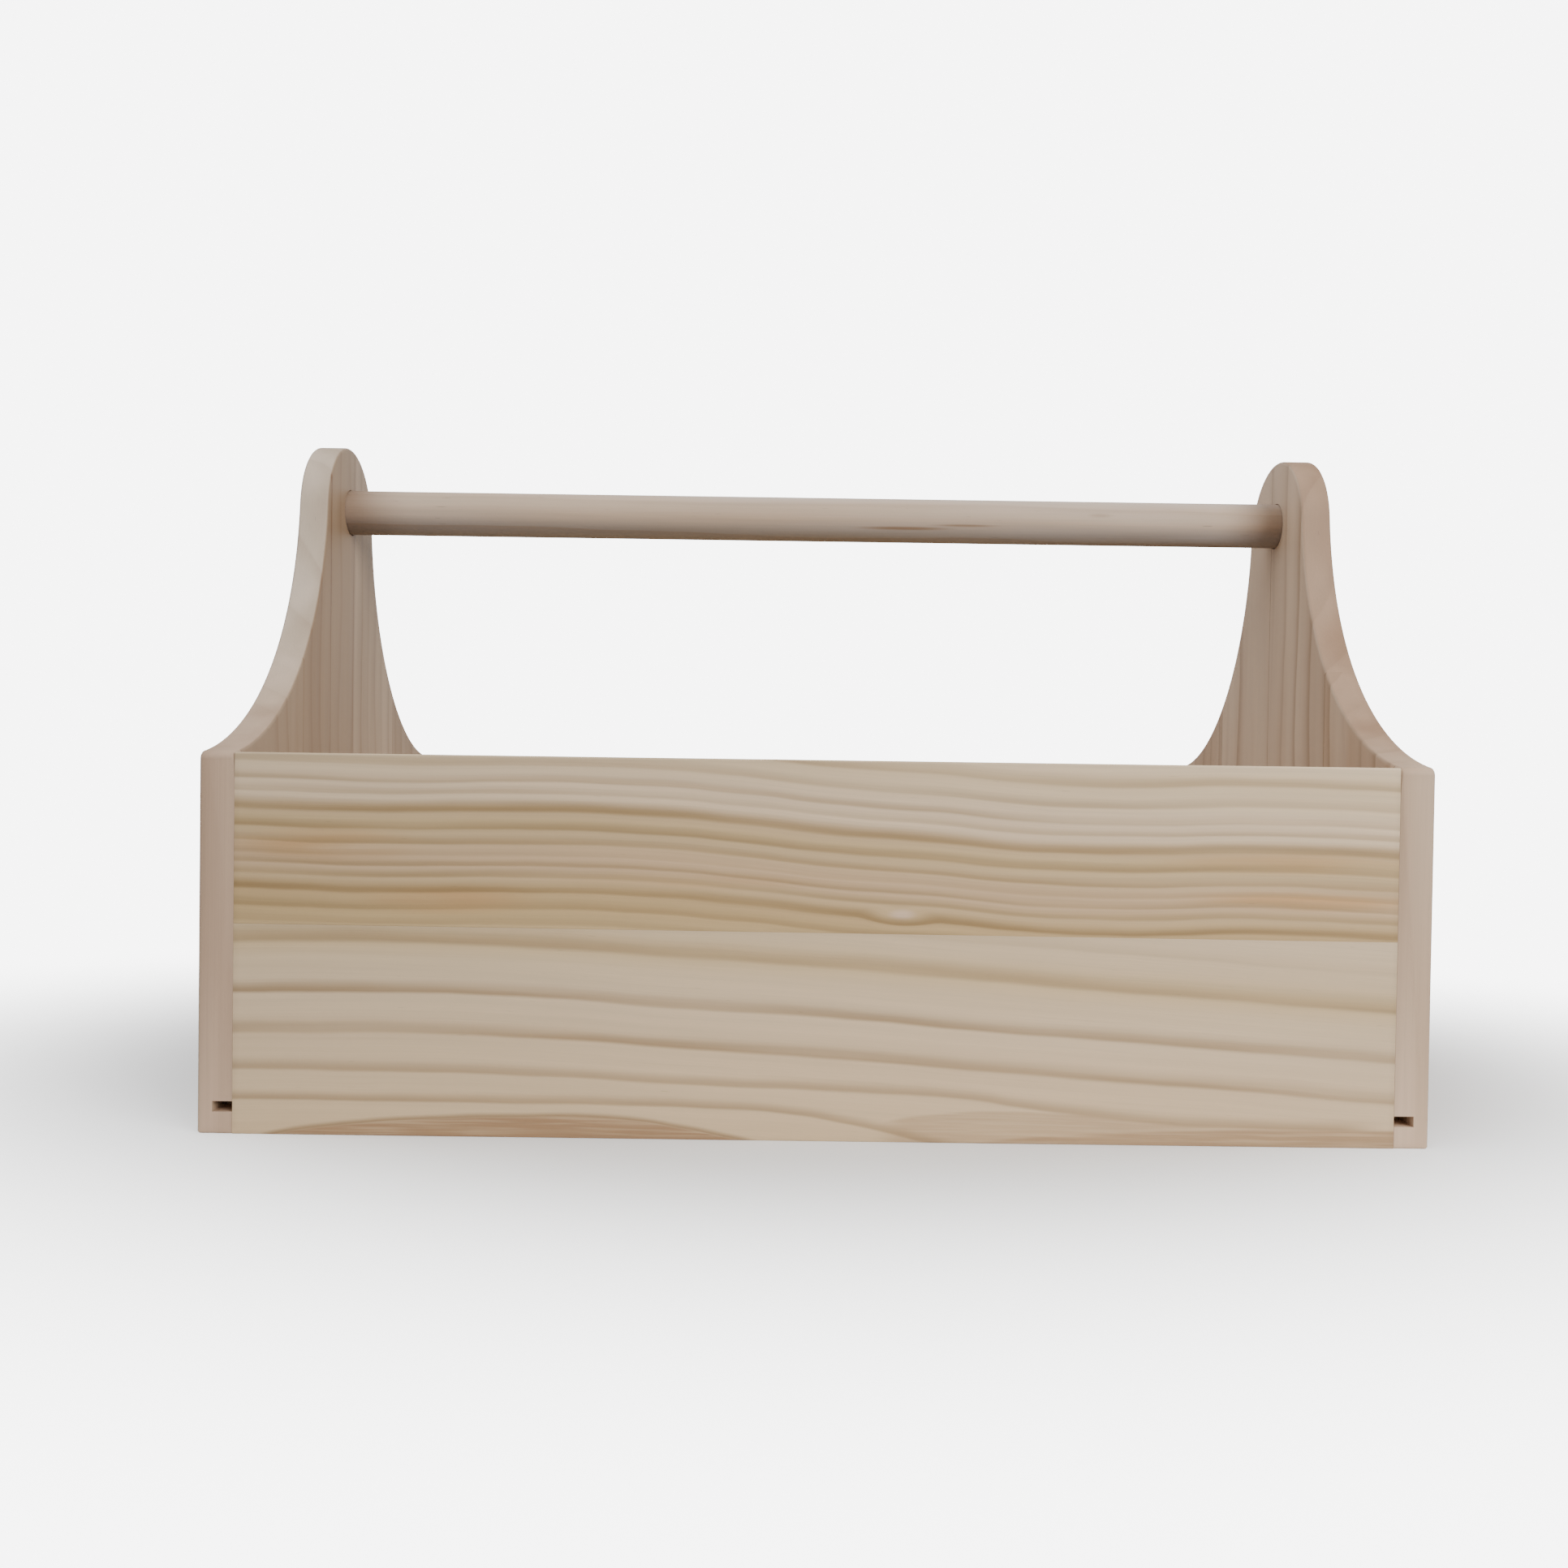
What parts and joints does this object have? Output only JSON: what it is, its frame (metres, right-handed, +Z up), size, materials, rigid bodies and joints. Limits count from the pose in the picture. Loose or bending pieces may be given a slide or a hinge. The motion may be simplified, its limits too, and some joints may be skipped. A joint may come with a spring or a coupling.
{
  "type": "wooden tool tote with drawer",
  "caption": "Open wooden carrying tote with rounded, hollow-sided end panels, a dowel handle, a full-height front board and a shallow drawer that slides out at the rear.",
  "frame": {"origin": "middle of the whole footprint on the surface it stands on, the drawer's knob included", "axes": "+X along the tote and its handle, -Y towards the full-height front board, +Y the way the drawer opens, +Z up"},
  "size_m": [0.42, 0.279, 0.26],
  "materials": {
    "pine_end": "raw sawn and sanded",
    "pine_dark_stave": "raw sawn and sanded",
    "pine_pale_stave": "raw sawn and sanded",
    "pine_rear": "raw sawn and sanded",
    "pine_inner": "raw sawn and sanded",
    "pine_drawer": "raw sawn and sanded",
    "pine_dowel": "raw turned",
    "plywood": "raw sanded ply",
    "beech_knob": "raw turned",
    "steel": "plain bright steel"
  },
  "bodies": {
    "carcass": {"left_end_panel": "pine_end", "right_end_panel": "pine_end", "handle_dowel": "pine_dowel", "handle_screws": "steel", "front_upper_board": "pine_dark_stave", "front_lower_board": "pine_pale_stave", "front_nails": "steel", "front_sill": "pine_inner", "rear_rail": "pine_rear", "rear_sill": "pine_inner", "rear_nails": "steel", "floor_panel": "plywood", "floor_brads": "steel", "tray_panel": "plywood", "left_cleat": "pine_inner", "right_cleat": "pine_inner", "front_cleat": "pine_inner", "rear_cleat": "pine_inner", "cleat_brads": "steel"},
    "drawer": {"drawer_front": "pine_drawer", "drawer_left_side": "pine_drawer", "drawer_right_side": "pine_drawer", "drawer_back": "pine_drawer", "drawer_panel": "plywood", "drawer_brads": "steel", "drawer_knob": "beech_knob", "knob_screw": "steel"}
  },
  "joints": [
    {"name": "drawer_slide", "type": "slide", "parent": "carcass", "child": "drawer", "axis": [0, 1, 0], "range_m": [0, 0.18]}
  ]
}
